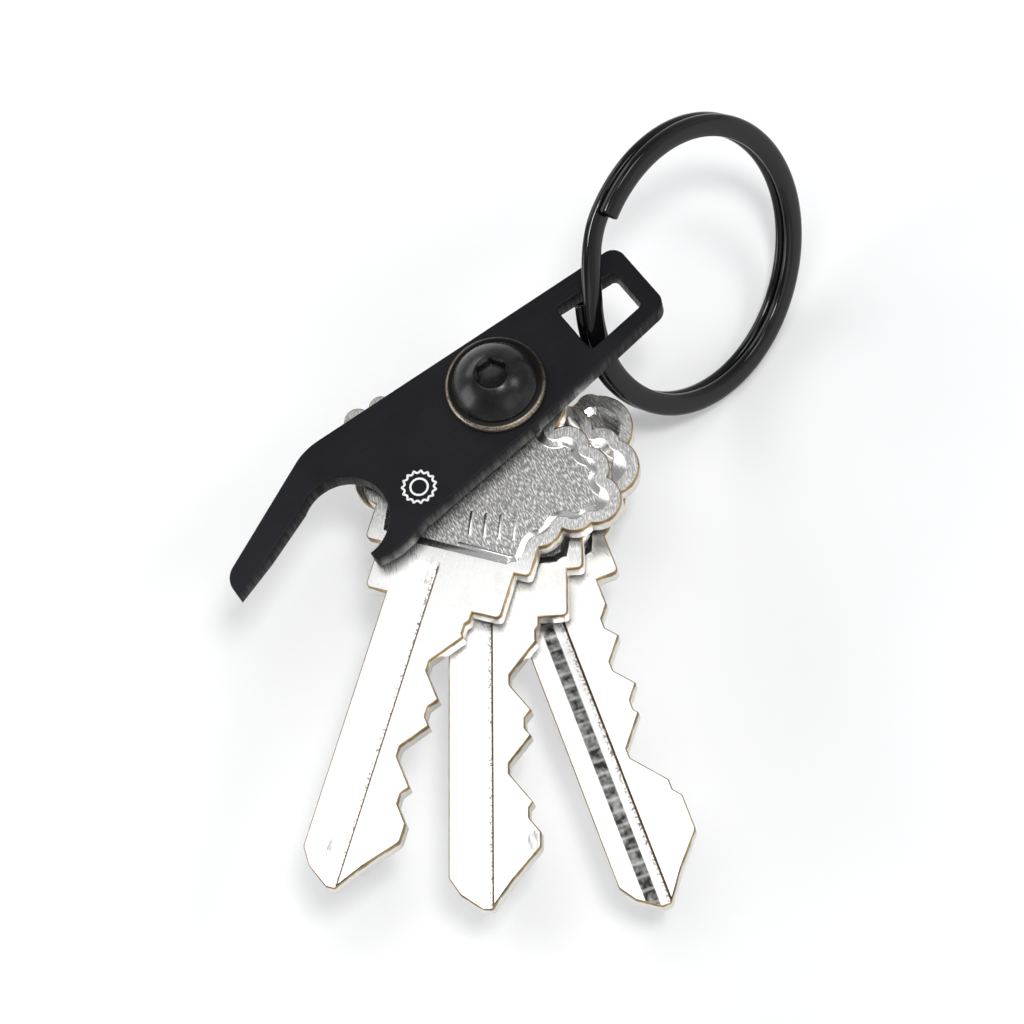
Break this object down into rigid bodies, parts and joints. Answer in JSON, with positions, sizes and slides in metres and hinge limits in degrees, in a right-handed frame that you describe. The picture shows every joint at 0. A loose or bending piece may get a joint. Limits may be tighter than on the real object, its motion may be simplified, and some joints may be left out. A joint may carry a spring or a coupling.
{
  "type": "keychain bottle opener",
  "caption": "Flat hooked cap opener for a keychain, with keys that fan out on its pivot screw and a split ring through its end slot.",
  "frame": {"origin": "On the pivot axis at the tail end of the pivot screw, the lowest end of the assembly.", "axes": "+X runs along the opener plate from the pivot to its ring end, +Y across the plate toward its straight back edge, +Z along the pivot screw from its tail to its head, square to the plate."},
  "size_m": [0.0732, 0.0535, 0.0253],
  "materials": {
    "black_plate": "black anodised, finely brushed",
    "black_steel": "black oxide, satin",
    "plain_steel": "plain, turned",
    "nickel_key": "nickel plate over brass, brass showing at the worn edges",
    "nylon": "moulded",
    "black_ring": "gloss black lacquer over spring steel"
  },
  "bodies": {
    "opener": {"opener_plate": "black_plate", "button_screw": "black_steel", "front_washer": "black_steel", "pivot_sleeve": "plain_steel", "thrust_washer_1": "plain_steel", "thrust_washer_2": "plain_steel", "thrust_washer_3": "plain_steel", "thrust_washer_4": "plain_steel", "rear_washer": "black_steel", "lock_nut": "black_steel", "nylon_insert": "nylon"},
    "upper_key": {"key_upper": "nickel_key"},
    "middle_key": {"key_middle": "nickel_key"},
    "lower_key": {"key_lower": "nickel_key"},
    "ring": {"split_ring": "black_ring"}
  },
  "joints": [
    {"name": "upper_key_fan", "type": "hinge", "parent": "opener", "child": "upper_key", "pos_m": [0, 0, 0.01565], "axis": [0, 0, 1], "range_deg": [-108, 40]},
    {"name": "middle_key_fan", "type": "hinge", "parent": "opener", "child": "middle_key", "pos_m": [0, 0, 0.01315], "axis": [0, 0, 1], "range_deg": [-120, 20]},
    {"name": "lower_key_fan", "type": "hinge", "parent": "opener", "child": "lower_key", "pos_m": [0, 0, 0.01065], "axis": [0, 0, 1], "range_deg": [-122, 0]},
    {"name": "ring_swing", "type": "hinge", "parent": "opener", "child": "ring", "pos_m": [0.0103, 0.0004, 0.01815], "axis": [1, 0, 0], "range_deg": [0, 60]}
  ]
}
